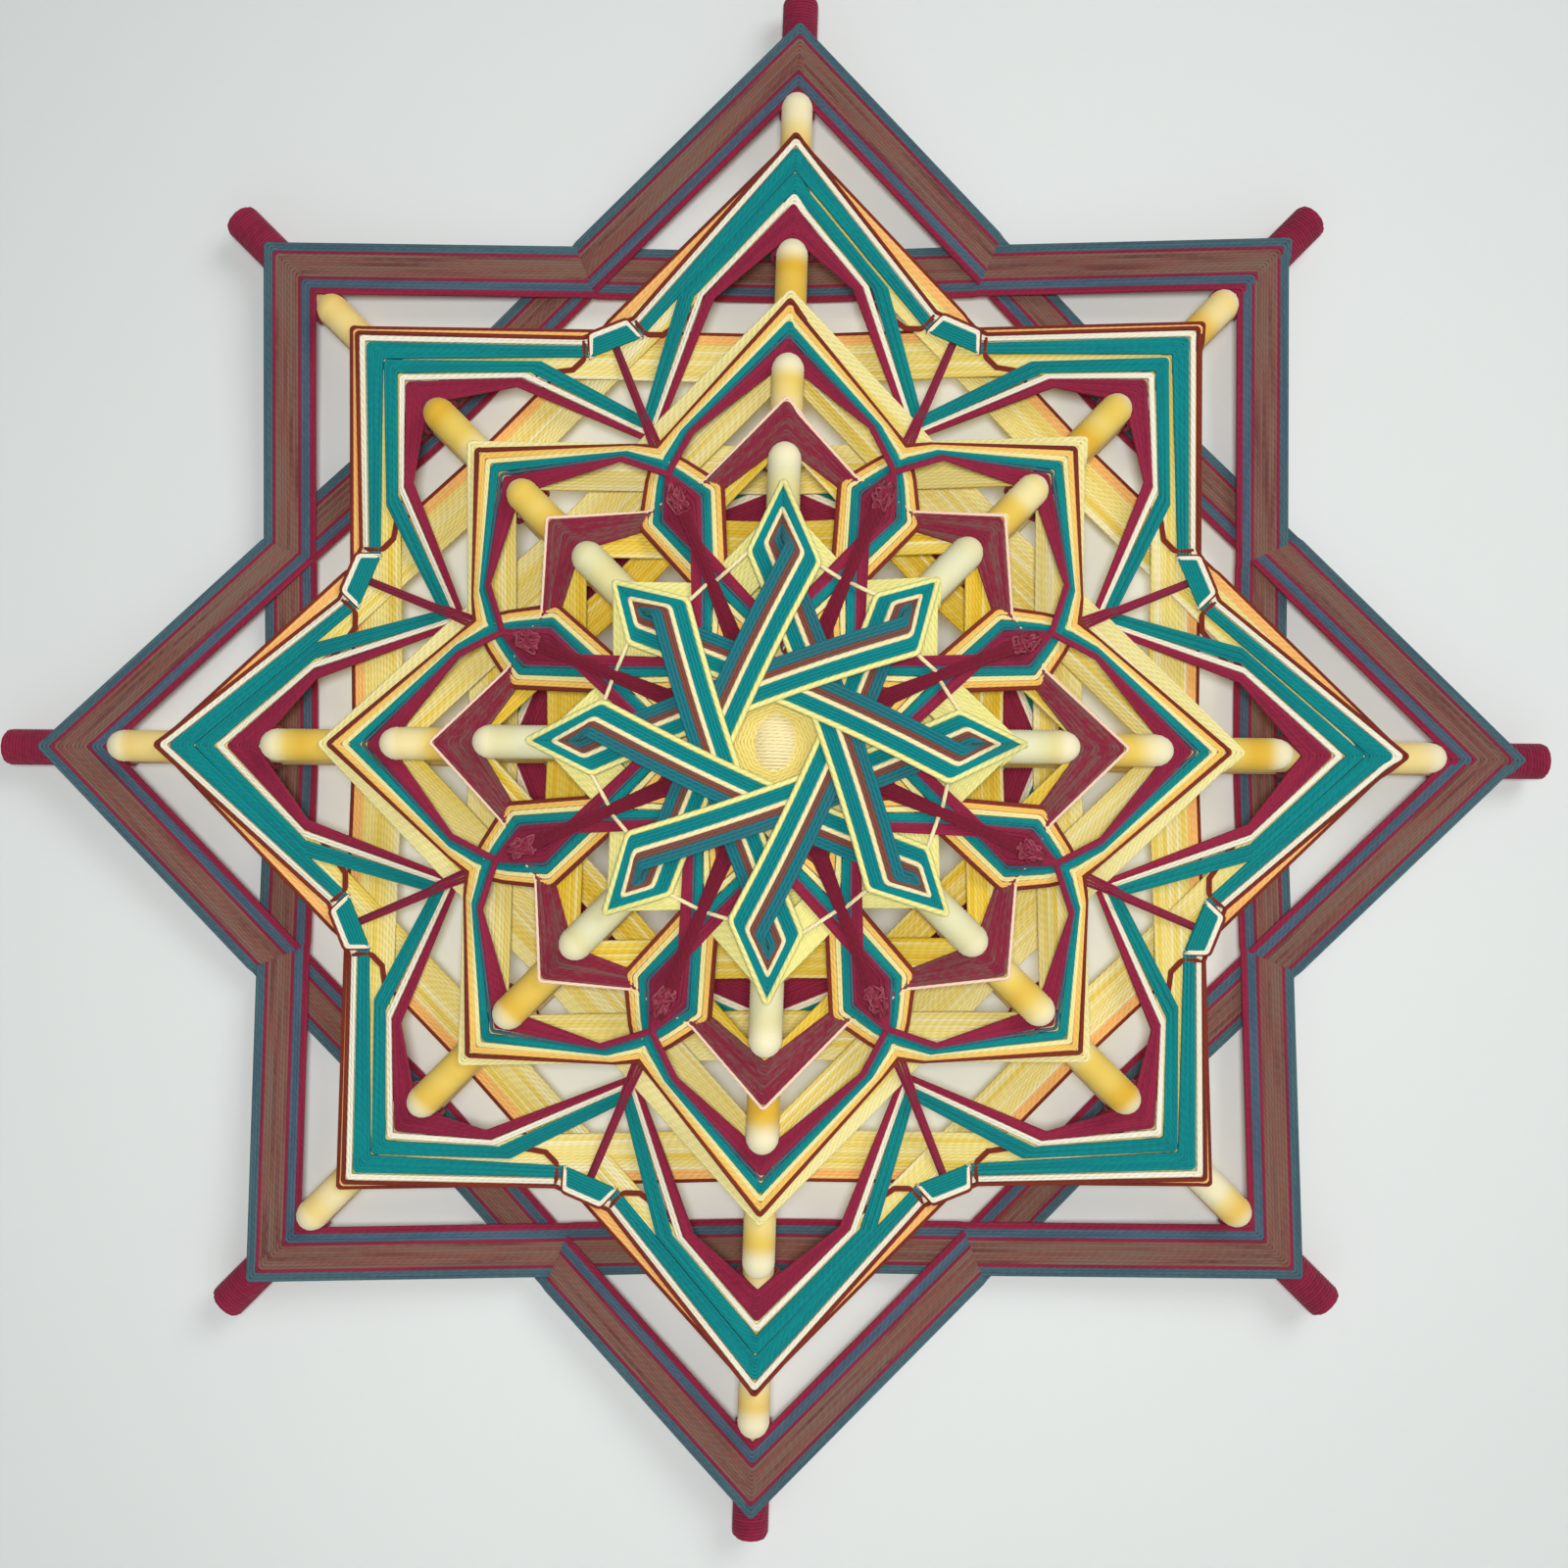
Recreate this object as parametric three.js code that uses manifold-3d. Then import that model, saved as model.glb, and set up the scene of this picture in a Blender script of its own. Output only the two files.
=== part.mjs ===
// Ojo de dios: an eight-armed yarn mandala in five tiers, wound on crossed sticks.
// Millimetres, +Z up, +X to the right, front towards -Y. The origin lies on the wall, behind the crossing.
import * as THREE from 'three';
import { mergeVertices } from 'three/addons/utils/BufferGeometryUtils.js';
import Module from 'manifold-3d';

const wasm = await Module();
wasm.setup();

// Sticks
const stickDiameter = 10;
const stickSides = 12;
const domeRise = 4;
const outerReach = 250;
const secondReach = 211;
const thirdReach = 158.5;
const fourthReach = 118.5;
const frontReach = 88;
const uprightLean = -1.9;
const levelLean = -0.55;

// Yarn, as the bundled strands of each winding
const outerCord = 2;
const innerCord = 1.8;
const starCord = 2.6;
const tieCord = 1.5;
const clearance = 0.3;
const strandGap = 0.5;

// Wound tips of the long sticks
const tipLength = 9;
const tipThickness = 1.2;

// Where each winding starts on its sticks, measured from the centre, and how often it goes round
const rimStart = 236;
const rimEdgeLoops = 1;
const rimMiddleLoops = 2;
const zigzagStart = 193.5;
const zigzagLoops = 2;
const secondStart = 179.8;
const secondLoops = 2;
const veeStart = 166.5;
const thirdStart = 135.2;
const thirdLoops = 1;
const petalStart = 127.6;
const goldStart = 103;
const goldLoops = 1;
const chevronStart = 95.4;
const starRadius = 72;

// Points between the arms: a distance from the centre and an angle from the line halfway between two arms
const bridgeRadius = 148;
const bridgeAngle = 3.3;
const bridgeStep = 3;
const bridgeLift = 2;
const veeRadius = 114;
const tieInner = 101;
const tieOuter = 145;
const petalBendRadius = 103.5;
const petalBendAngle = 6;
const petalBendDip = 3;
const petalCrossRadius = 91;
const petalCrossLift = 0.5;
const dropShoulderRadius = 84;
const dropShoulderAngle = 9.6;
const dropShoulderLift = 4;
const dropPointRadius = 57;
const dropPointAngle = 4.5;
const chevronHookRadius = 81;
const chevronHookAngle = 10;
const hairpinOuter = 74;
const hairpinInner = 40;
const kiteRadius = 53;
const kiteHalfWidth = 9.4;
const starSlope = 4.5;
const starWidth = 3.9;

// Values that follow from those sizes
const stickRadius = stickDiameter / 2;
const tierPitch = stickDiameter + innerCord + 2 * clearance;
const rearLevel = stickRadius + clearance + outerCord;
const reaches = [outerReach, secondReach, thirdReach, fourthReach, frontReach];
const tierNames = ['outer', 'second', 'third', 'fourth', 'front'];
const axisLevel = (tier) => rearLevel + tier * tierPitch;
const degrees = THREE.MathUtils.degToRad;
const armLean = [levelLean, 0, uprightLean, 0];
const armAngle = (arm) => degrees(45 * arm + armLean[((arm % 4) + 4) % 4]);
const halfwayAngle = (arm) => (armAngle(arm) + armAngle(arm + 1)) / 2;
const armNames = ['right', 'upper_right', 'top', 'upper_left', 'left', 'lower_left', 'bottom', 'lower_right'];

const group = new THREE.Group();

function add(name, geometry, material) {
  const mesh = new THREE.Mesh(geometry, material);
  mesh.name = name;
  group.add(mesh);
}

function material(color, roughness) {
  return new THREE.MeshStandardMaterial({ color, roughness, metalness: 0 });
}

const yellowStick = material(0xe6cf74, 0.8);
const palewood = material(0xd9c08a, 0.7);
const wineYarn = material(0x8c2341, 0.95);
const brownYarn = material(0x73463c, 0.95);
const blueYarn = material(0x465f6e, 0.95);
const tealYarn = material(0x058080, 0.95);
const creamYarn = material(0xe6dca5, 0.95);
const goldYarn = material(0xe1b42d, 0.95);
const yellowYarn = material(0xe1c355, 0.95);

// A point along an angle from the centre, moved aside (counter-clockwise) and towards the front
function place(angle, radius, aside, level) {
  const x = radius * Math.cos(angle) - aside * Math.sin(angle);
  const z = radius * Math.sin(angle) + aside * Math.cos(angle);
  return new THREE.Vector3(x, -level, z);
}

// Solids for cutting and joining
const mergeDistance = 1e-4;

function solid(geometry) {
  const bare = geometry.clone();
  bare.deleteAttribute('normal');
  bare.deleteAttribute('uv');
  const merged = mergeVertices(bare, mergeDistance);
  return new wasm.Manifold(new wasm.Mesh({
    numProp: 3,
    vertProperties: new Float32Array(merged.attributes.position.array),
    triVerts: new Uint32Array(merged.index.array),
  }));
}

function geometryOf(manifold) {
  const mesh = manifold.getMesh();
  const geometry = new THREE.BufferGeometry();
  geometry.setAttribute('position', new THREE.BufferAttribute(new Float32Array(mesh.vertProperties), 3));
  geometry.setIndex(new THREE.BufferAttribute(new Uint32Array(mesh.triVerts), 1));
  geometry.computeVertexNormals();
  return geometry;
}

// One stick: a round rod with domed ends, planed at the middle so that four of them cross in one thickness
const mostLean = Math.max(Math.abs(uprightLean), Math.abs(levelLean), Math.abs(uprightLean - levelLean));
const smallestTurn = degrees(45 - mostLean);
const lapHalfLength = stickRadius / Math.tan(smallestTurn / 2) + clearance;
const lapHeight = stickDiameter / 4;

function stickGeometry(tier, arm, layer) {
  const reach = reaches[tier];
  const bodyEnd = reach - domeRise;
  const shoulder = new THREE.Vector2(stickRadius * Math.SQRT1_2, bodyEnd + domeRise * Math.SQRT1_2);
  const end = tier === 0
    ? [new THREE.Vector2(stickRadius, reach)]
    : [new THREE.Vector2(stickRadius, bodyEnd), shoulder];
  const upper = [...end, new THREE.Vector2(0, reach)];
  const lower = upper.map((point) => new THREE.Vector2(point.x, -point.y)).reverse();
  const rod = new THREE.LatheGeometry([...lower, ...upper], stickSides);
  const lowCut = -stickRadius + layer * lapHeight + clearance / 2;
  const highCut = lowCut + lapHeight - clearance;
  const turn = new THREE.Matrix4().makeRotationZ(-Math.PI / 2);
  let stick = solid(rod.applyMatrix4(turn));
  for (const [from, to] of [[-stickDiameter, lowCut], [highCut, stickDiameter]]) {
    const cut = new THREE.BoxGeometry(2 * lapHalfLength, to - from, 2 * stickDiameter);
    cut.translate(0, -(from + to) / 2, 0);
    stick = stick.subtract(solid(cut));
  }
  const geometry = geometryOf(stick);
  geometry.rotateY(-armAngle(arm));
  geometry.translate(0, -axisLevel(tier), 0);
  return geometry;
}

const stickNames = ['level', 'rising', 'upright', 'falling'];
const layerOf = [2, 0, 3, 1];
for (let tier = 0; tier < reaches.length; tier += 1) {
  for (let arm = 0; arm < 4; arm += 1) {
    const wood = tier === 0 ? palewood : yellowStick;
    add(`${tierNames[tier]}_${stickNames[arm]}_stick`, stickGeometry(tier, arm, layerOf[arm]), wood);
  }
}

// Wine yarn wound as a sleeve round each end of the long sticks
for (let arm = 0; arm < 8; arm += 1) {
  const bore = stickRadius + clearance;
  const skin = bore + tipThickness;
  const start = outerReach - tipLength;
  const profile = [[bore, start], [skin, start], [skin, outerReach], [bore, outerReach], [bore, start]];
  const sleeve = new THREE.LatheGeometry(profile.map(([x, y]) => new THREE.Vector2(x, y)), stickSides);
  sleeve.rotateZ(-Math.PI / 2);
  sleeve.rotateY(-armAngle(arm));
  sleeve.translate(0, -axisLevel(0), 0);
  const tip = mergeVertices(sleeve.deleteAttribute('normal').deleteAttribute('uv'), mergeDistance);
  tip.computeVertexNormals();
  add(`tip_winding_${armNames[arm]}`, tip, wineYarn);
}

// A strand of four sides swept along straight runs with mitred corners. Between the arms the yarn lies
// side by side, so a point may be wider across the face of the mandala than it is thick.
const strandSides = 4;
const front = new THREE.Vector3(0, -1, 0);

function widen(point, width) {
  return Object.assign(point, { width });
}

function strandGeometry(points, diameter) {
  const count = points.length;
  const runs = points.slice(1).map((point, i) => point.clone().sub(points[i]).normalize());
  const aside = front.clone().cross(runs[0]).normalize();
  const over = runs[0].clone().cross(aside);
  let ring = [];
  for (let side = 0; side < strandSides; side += 1) {
    const turn = (2 * Math.PI * (side + 0.5)) / strandSides;
    const offset = aside.clone().multiplyScalar(Math.cos(turn)).addScaledVector(over, Math.sin(turn));
    ring.push(offset.multiplyScalar(diameter / 2));
  }
  const positions = [];
  for (let i = 0; i < count; i += 1) {
    const before = runs[Math.max(i - 1, 0)];
    const after = runs[Math.min(i, count - 2)];
    const mitre = before.clone().add(after).normalize();
    const across = front.clone().cross(mitre).normalize();
    const spread = Math.max(0, (points[i].width ?? diameter) / diameter - 1);
    const slide = (offset) => -offset.dot(mitre) / before.dot(mitre);
    ring = ring.map((offset) => offset.clone().addScaledVector(before, slide(offset)));
    for (const offset of ring) {
      const corner = points[i].clone().add(offset).addScaledVector(across, spread * offset.dot(across));
      positions.push(...corner.toArray());
    }
    ring = ring.map((offset) => offset.clone().addScaledVector(after, -offset.dot(after)));
  }
  const index = [];
  for (let i = 0; i < count - 1; i += 1) {
    for (let side = 0; side < strandSides; side += 1) {
      const a = i * strandSides + side;
      const b = i * strandSides + ((side + 1) % strandSides);
      index.push(a, b, a + strandSides, b, b + strandSides, a + strandSides);
    }
  }
  const last = (count - 1) * strandSides;
  for (let side = 1; side < strandSides - 1; side += 1) {
    index.push(0, side + 1, side, last, last + side, last + side + 1);
  }
  const geometry = new THREE.BufferGeometry();
  geometry.setAttribute('position', new THREE.Float32BufferAttribute(positions, 3));
  geometry.setIndex(index);
  geometry.computeVertexNormals();
  return geometry;
}

// The least gap of a strand to itself, measured on points along its edges, a few diameters apart or more
const nearbyDiameters = 5;

function leastGap(geometry, points, diameter) {
  const corners = geometry.attributes.position;
  const corner = (i, side) => new THREE.Vector3().fromBufferAttribute(corners, i * strandSides + side);
  const samples = [];
  let travelled = 0;
  for (let i = 0; i < points.length - 1; i += 1) {
    const length = points[i].distanceTo(points[i + 1]);
    const steps = Math.ceil(length / (diameter / 2));
    for (let step = 0; step < steps; step += 1) {
      for (let side = 0; side < strandSides; side += 1) {
        const at = corner(i, side).lerp(corner(i + 1, side), step / steps);
        samples.push([at.x, at.y, at.z, travelled + (length * step) / steps]);
      }
    }
    travelled += length;
  }
  let least = Infinity;
  for (let i = 0; i < samples.length; i += 1) {
    const [x, y, z, s] = samples[i];
    for (let j = i + 1; j < samples.length; j += 1) {
      if (samples[j][3] - s < nearbyDiameters * diameter) continue;
      const square = (samples[j][0] - x) ** 2 + (samples[j][1] - y) ** 2 + (samples[j][2] - z) ** 2;
      if (square < least) least = square;
    }
  }
  return Math.sqrt(least);
}

function addWinding(name, points, diameter, yarn) {
  const geometry = strandGeometry(points, diameter);
  add(name, geometry, yarn);
  console.log(`${name}: least gap to itself ${leastGap(geometry, points, diameter).toFixed(2)} mm`);
}

// One and a half turns round a stick, from its clockwise side to the other, climbing outwards along it.
// The last pass leaves over the first one, clear of it.
const wrapCorners = [[-1, 1], [1, 1], [1, -1], [-1, -1], [-1, 1], [1, 1]];
const lastCorner = wrapCorners.length - 1;
const turnClimb = (diameter) => diameter + strandGap;
const wrapClimb = (diameter) => (turnClimb(diameter) * lastCorner) / 4;
const pitchAt = (diameter, angle) => turnClimb(diameter) * (1 + 1 / Math.sin(degrees(angle)));
const bandAngle = 45 - Math.abs(uprightLean);
const bandPitch = (diameter) => pitchAt(diameter, bandAngle);
const ringAngle = 34;
const ringPitch = pitchAt(innerCord, ringAngle);
const runWidth = (diameter) => bandPitch(diameter) * Math.sin(degrees(bandAngle)) - strandGap;
const leaveLift = 1.7;
const wrapReach = (diameter) => stickRadius + clearance + diameter / 2;

function wrap(arm, tier, radius, diameter) {
  const out = wrapReach(diameter);
  const lift = leaveLift * turnClimb(diameter);
  return wrapCorners.map(([side, face], i) => {
    const climbed = radius + (wrapClimb(diameter) * i) / lastCorner;
    const level = axisLevel(tier) + face * out + (i === lastCorner ? lift : 0);
    return place(armAngle(arm), climbed, side * out, level);
  });
}

// Square (odd arms) or diamond (even arms) bands. Between two of its own arms a strand runs behind the stick
// that it passes, and the square's runs lie behind the diamond's where the two cross.
const squareDrop = 0.36;
const diamondDrop = 0.3;

function runPoint(from, to, share, level, width) {
  const point = from.clone().lerp(to, share);
  point.y = -level;
  return widen(point, width);
}

function shareAtArm(from, to, arm) {
  const away = (point) => place(armAngle(arm), 0, 1, 0).dot(point);
  return away(from) / (away(from) - away(to));
}

function bandRun(from, to, arm, tier, diameter, rise) {
  const back = axisLevel(tier) - wrapReach(diameter);
  const width = runWidth(diameter);
  if (rise === 0) {
    return [squareDrop / 2, 1 - squareDrop / 2].map((share) => runPoint(from, to, share, back, width));
  }
  return [
    runPoint(from, to, diamondDrop / 2, back + rise, width),
    runPoint(from, to, shareAtArm(from, to, arm), back, width),
    runPoint(from, to, 1 - diamondDrop / 2, back + rise, width),
  ];
}

function bandPath(firstArm, tier, start, firstLoop, loops, allLoops, diameter) {
  const pitch = bandPitch(diameter);
  const crossStart = Math.tan(Math.PI / 8) - (Math.SQRT2 * (pitch * allLoops + wrapClimb(diameter))) / start;
  const diamondRise = ((diameter + strandGap) * (1 - diamondDrop)) / crossStart;
  const rise = firstArm % 2 ? 0 : diamondRise;
  const points = [];
  for (let visit = 4 * firstLoop; visit < 4 * (firstLoop + loops); visit += 1) {
    const here = wrap((firstArm + 2 * visit) % 8, tier, start - (pitch * visit) / 4, diameter);
    const next = wrap((firstArm + 2 * visit + 2) % 8, tier, start - (pitch * (visit + 1)) / 4, diameter)[0];
    points.push(...here, ...bandRun(here[lastCorner], next, firstArm + 2 * visit + 1, tier, diameter, rise));
    if (visit === 4 * (firstLoop + loops) - 1) {
      const before = points[points.length - 1];
      const short = (diameter + strandGap) / before.distanceTo(next);
      points.push(next.lerp(before, short));
    }
  }
  return points;
}

// Outer tier: blue edges either side of a brown middle, on the square and on the diamond
const rimLoops = 2 * rimEdgeLoops + rimMiddleLoops;
for (const [shape, firstArm] of [['square', 1], ['diamond', 0]]) {
  const stripes = [
    ['outer_edge', 0, rimEdgeLoops, blueYarn],
    ['middle', rimEdgeLoops, rimMiddleLoops, brownYarn],
    ['inner_edge', rimEdgeLoops + rimMiddleLoops, rimEdgeLoops, blueYarn],
  ];
  for (const [stripe, firstLoop, loops, yarn] of stripes) {
    const path = bandPath(firstArm, 0, rimStart, firstLoop, loops, rimLoops, outerCord);
    addWinding(`outer_${shape}_${stripe}`, path, outerCord, yarn);
  }
}

// Second, third and fourth tiers: yellow and gold bands on the square and the diamond
const innerBands = [
  ['second', 1, secondStart, secondLoops, creamYarn],
  ['third', 2, thirdStart, thirdLoops, yellowYarn],
  ['fourth', 3, goldStart, goldLoops, goldYarn],
];
for (const [name, tier, start, loops, yarn] of innerBands) {
  for (const [shape, firstArm] of [['square', 1], ['diamond', 0]]) {
    const path = bandPath(firstArm, tier, start, 0, loops, loops, innerCord);
    addWinding(`${name}_${shape}_band`, path, innerCord, yarn);
  }
}

// A winding that calls at every arm in turn, with its own points between two arms
function ringPath(firstArm, tier, start, loops, between) {
  const visits = 8 * loops;
  const points = [];
  for (let visit = 0; visit < visits; visit += 1) {
    const arm = (firstArm + visit) % 8;
    points.push(...wrap(arm, tier, start - (ringPitch * visit) / 8, innerCord), ...between(arm, visit));
  }
  const next = wrap(firstArm, tier, start - ringPitch * loops, innerCord)[0];
  const before = points[points.length - 1];
  const short = (innerCord + strandGap) / before.distanceTo(next);
  points.push(next.lerp(before, short));
  return points;
}

// Second tier: a teal zigzag whose notches are drawn across the gap between arms by a short bridge
const bridgeLevel = axisLevel(1) + bridgeLift;
addWinding('second_zigzag', ringPath(0, 1, zigzagStart, zigzagLoops, (arm, visit) => {
  const radius = bridgeRadius - (bridgeStep * (visit + 0.5)) / 8;
  const halfway = halfwayAngle(arm);
  return [-1, 1].map((side) => place(halfway + side * degrees(bridgeAngle), radius, 0, bridgeLevel));
}), innerCord, tealYarn);

// Wine ties that draw each bridge towards the third tier, behind its square band
const tieOuterLevel = bridgeLevel - (innerCord + tieCord) / 2 - clearance;
const tieInnerLevel = axisLevel(2) - wrapReach(innerCord) - (innerCord + tieCord) / 2 - clearance;
const gapNames = ['right_upper', 'upper_right', 'upper_left', 'left_upper',
  'left_lower', 'lower_left', 'lower_right', 'right_lower'];
for (let arm = 0; arm < 8; arm += 1) {
  const outer = place(halfwayAngle(arm), tieOuter, 0, tieOuterLevel);
  const inner = place(halfwayAngle(arm), tieInner, 0, tieInnerLevel);
  add(`tie_${gapNames[arm]}`, strandGeometry([outer, inner], tieCord), wineYarn);
}

// Second tier, inside the bands: a wine vee from arm to arm that hooks behind the ties
const tieShare = (tieOuter - veeRadius) / (tieOuter - tieInner);
const tieLevel = tieOuterLevel + (tieInnerLevel - tieOuterLevel) * tieShare;
const veeLevel = tieLevel - (innerCord + tieCord) / 2 - clearance;
const veeHook = (arm) => [place(halfwayAngle(arm), veeRadius, 0, veeLevel)];
addWinding('second_vee', ringPath(2, 1, veeStart, 1, veeHook), innerCord, wineYarn);

// Third tier: petals that cross between the arms and open into a drop on the way to the centre
const crossLevel = axisLevel(3) + petalCrossLift;
const shoulderLevel = axisLevel(3) + dropShoulderLift;
const hairpinLevel = axisLevel(4) - wrapReach(innerCord);
const pointLevel = hairpinLevel + innerCord + strandGap;
const petalLevel = crossLevel - petalBendDip;
addWinding('third_petals', ringPath(2, 2, petalStart, 1, (arm) => {
  const halfway = halfwayAngle(arm);
  const at = (radius, angle, level) => place(halfway + degrees(angle), radius, 0, level);
  return [
    at(petalBendRadius, -petalBendAngle, petalLevel),
    at(petalCrossRadius, 0, crossLevel),
    at(dropShoulderRadius, dropShoulderAngle, shoulderLevel),
    at(dropPointRadius, dropPointAngle, pointLevel),
    at(dropPointRadius, -dropPointAngle, pointLevel),
    at(dropShoulderRadius, -dropShoulderAngle, shoulderLevel),
    at(petalCrossRadius, 0, crossLevel + innerCord + 2 * strandGap),
    at(petalBendRadius, petalBendAngle, petalLevel),
  ];
}), innerCord, tealYarn);

// Fourth tier: wine chevrons hooked behind the shoulders of the drops
const hookLevel = shoulderLevel - innerCord - strandGap;
addWinding('fourth_chevrons', ringPath(2, 3, chevronStart, 1, (arm) => [-1, 1].map((side) => {
  const angle = halfwayAngle(arm) + side * degrees(chevronHookAngle);
  return place(angle, chevronHookRadius, 0, hookLevel);
})), innerCord, wineYarn);

// Wine cords from the drops to the centre: one strand in hairpins that passes behind the front sticks
const hairpinHalf = (innerCord + 2 * strandGap) / 2;
const hairpin = [[hairpinInner, -1], [hairpinOuter, -1], [hairpinOuter, 1], [hairpinInner, 1]];
const cordPoints = [];
for (let arm = 0; arm < 8; arm += 1) {
  for (const [radius, side] of hairpin) {
    cordPoints.push(place(halfwayAngle(arm), radius, side * hairpinHalf, hairpinLevel));
  }
}
addWinding('drop_cords', cordPoints, innerCord, wineYarn);

// Front tier: an eight-pointed star. The cord starts high at one arm, ends low at the third arm on,
// and opens into a kite that lies over the front of the stick there.
const starDrop = 2 * (starCord + strandGap);
const starLow = axisLevel(4) + wrapReach(starCord);
const starHigh = starLow + starDrop;
const starPoints = [];
for (let visit = 0; visit < 8; visit += 1) {
  const angle = armAngle((3 * visit) % 8);
  const leave = place(angle, kiteRadius, -kiteHalfWidth, starHigh);
  const arrive = place(armAngle((3 * visit + 3) % 8), kiteRadius, kiteHalfWidth, starLow);
  const half = starSlope / leave.distanceTo(arrive);
  starPoints.push(place(angle, starRadius, stickRadius / 2, starLow));
  starPoints.push(place(angle, starRadius, -stickRadius / 2, starLow));
  starPoints.push(leave, runPoint(leave, arrive, 0.5 - half, starHigh, starWidth));
  starPoints.push(runPoint(leave, arrive, 0.5 + half, starLow, starWidth), arrive);
}
const starEnd = starPoints[starPoints.length - 1];
const endShort = (starCord + strandGap) / starEnd.distanceTo(starPoints[0]);
starPoints.push(starPoints[0].clone().lerp(starEnd, endShort));
addWinding('front_star', starPoints, starCord, tealYarn);

export default group;
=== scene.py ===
import math

import bpy
import numpy as np
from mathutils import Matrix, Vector


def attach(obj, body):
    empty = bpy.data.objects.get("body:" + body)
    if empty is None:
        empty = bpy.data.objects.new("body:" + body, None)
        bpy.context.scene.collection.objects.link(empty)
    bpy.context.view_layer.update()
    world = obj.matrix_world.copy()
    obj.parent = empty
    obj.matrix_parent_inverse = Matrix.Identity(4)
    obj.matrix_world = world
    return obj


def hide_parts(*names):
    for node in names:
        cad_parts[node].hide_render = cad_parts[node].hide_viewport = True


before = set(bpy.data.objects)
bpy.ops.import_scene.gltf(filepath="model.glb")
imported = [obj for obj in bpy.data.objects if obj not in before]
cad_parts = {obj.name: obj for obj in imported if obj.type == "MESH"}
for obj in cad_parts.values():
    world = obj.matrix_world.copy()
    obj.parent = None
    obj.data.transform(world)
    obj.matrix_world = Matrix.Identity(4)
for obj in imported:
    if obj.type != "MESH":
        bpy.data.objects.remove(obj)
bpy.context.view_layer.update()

bpy.context.scene.view_settings.view_transform = "Standard"

# Where it hangs: a pale painted wall, lit from the front and the upper right, with a pale floor well below.
# The wall shows from the front only, so that the sticks can be seen from behind.
MM = 0.001
wall_gap = 1.5
wall_size = 6000
floor_drop = 620


def linear(red, green, blue):
    """A colour given as it looks on a screen, 0 to 255, in the linear light that shaders use."""
    shares = [channel / 255 for channel in (red, green, blue)]
    light = [s / 12.92 if s <= 0.04045 else ((s + 0.055) / 1.055) ** 2.4 for s in shares]
    return (*light, 1.0)


def new_material(name, roughness):
    material = bpy.data.materials.new(name)
    material.use_nodes = True
    shader = material.node_tree.nodes["Principled BSDF"]
    shader.inputs["Roughness"].default_value = roughness
    shader.inputs["Specular IOR Level"].default_value = 0.15
    return material, material.node_tree, shader


def add_node(tree, kind, **settings):
    node = tree.nodes.new("ShaderNode" + kind)
    for key, value in settings.items():
        setattr(node, key, value)
    return node


def noise_tint(tree, coordinates, scale, detail, stops):
    """A colour that goes from stop to stop with a noise stretched over the coordinates, and that noise."""
    stretch = add_node(tree, "Mapping")
    stretch.inputs["Scale"].default_value = scale
    noise = add_node(tree, "TexNoise")
    noise.inputs["Scale"].default_value = 1.0
    noise.inputs["Detail"].default_value = detail
    tint = add_node(tree, "ValToRGB")
    ramp = tint.color_ramp
    while len(ramp.elements) < len(stops):
        ramp.elements.new(0.5)
    for element, (position, colour) in zip(ramp.elements, stops):
        element.position = position
        element.color = linear(*colour)
    tree.links.new(coordinates, stretch.inputs["Vector"])
    tree.links.new(stretch.outputs["Vector"], noise.inputs["Vector"])
    tree.links.new(noise.outputs["Fac"], tint.inputs["Fac"])
    return tint.outputs["Color"], noise.outputs["Fac"]


def plane(name, location, turn_x):
    bpy.ops.object.select_all(action="DESELECT")
    bpy.ops.mesh.primitive_plane_add(size=wall_size * MM, location=location, rotation=(turn_x, 0, 0))
    sheet = bpy.context.object
    sheet.name = name
    bpy.ops.object.transform_apply(location=True, rotation=True, scale=True)
    return sheet


def painted(name, colour, see_through_behind):
    """Matt paint with faint clouds in its tone. A wall can be seen through from behind."""
    material, tree, shader = new_material(name, 0.9)
    link = tree.links.new
    where = add_node(tree, "TexCoord")
    clouds = [(0, [c - 3 for c in colour]), (1, [c + 3 for c in colour])]
    tone, _ = noise_tint(tree, where.outputs["Object"], (3, 3, 3), 2, clouds)
    link(tone, shader.inputs["Base Color"])
    if see_through_behind:
        side = add_node(tree, "NewGeometry")
        path = add_node(tree, "LightPath")
        either = add_node(tree, "Math", operation="MAXIMUM")
        clear = add_node(tree, "BsdfTransparent")
        choose = add_node(tree, "MixShader")
        link(side.outputs["Backfacing"], either.inputs[0])
        link(path.outputs["Is Shadow Ray"], either.inputs[1])
        link(either.outputs["Value"], choose.inputs["Fac"])
        link(shader.outputs["BSDF"], choose.inputs[1])
        link(clear.outputs["BSDF"], choose.inputs[2])
        link(choose.outputs["Shader"], tree.nodes["Material Output"].inputs["Surface"])
    return material


wall = plane("wall", (0, wall_gap * MM, 0), math.radians(90))
wall.data.materials.append(painted("wall_paint", (226, 231, 229), True))
floor = plane("floor", (0, 0, -floor_drop * MM), 0)
floor.data.materials.append(painted("floor_paint", (225, 226, 224), False))

camera_place = (2.65, -559.2, -32.4)
camera_tilt_up = 2.35
camera_lens = 38.95
sensor_width = 36
camera_data = bpy.data.cameras.new("camera")
camera_data.lens = camera_lens
camera_data.sensor_width = sensor_width
camera = bpy.data.objects.new("camera", camera_data)
camera.location = Vector(camera_place) * MM
camera.rotation_euler = (math.radians(90 + camera_tilt_up), 0, 0)
bpy.context.scene.collection.objects.link(camera)
bpy.context.scene.camera = camera

world = bpy.data.worlds.new("room_light")
world.use_nodes = True
room = world.node_tree.nodes["Background"]
room.inputs["Color"].default_value = linear(240, 244, 247)
room.inputs["Strength"].default_value = 0.17
bpy.context.scene.world = world


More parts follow.
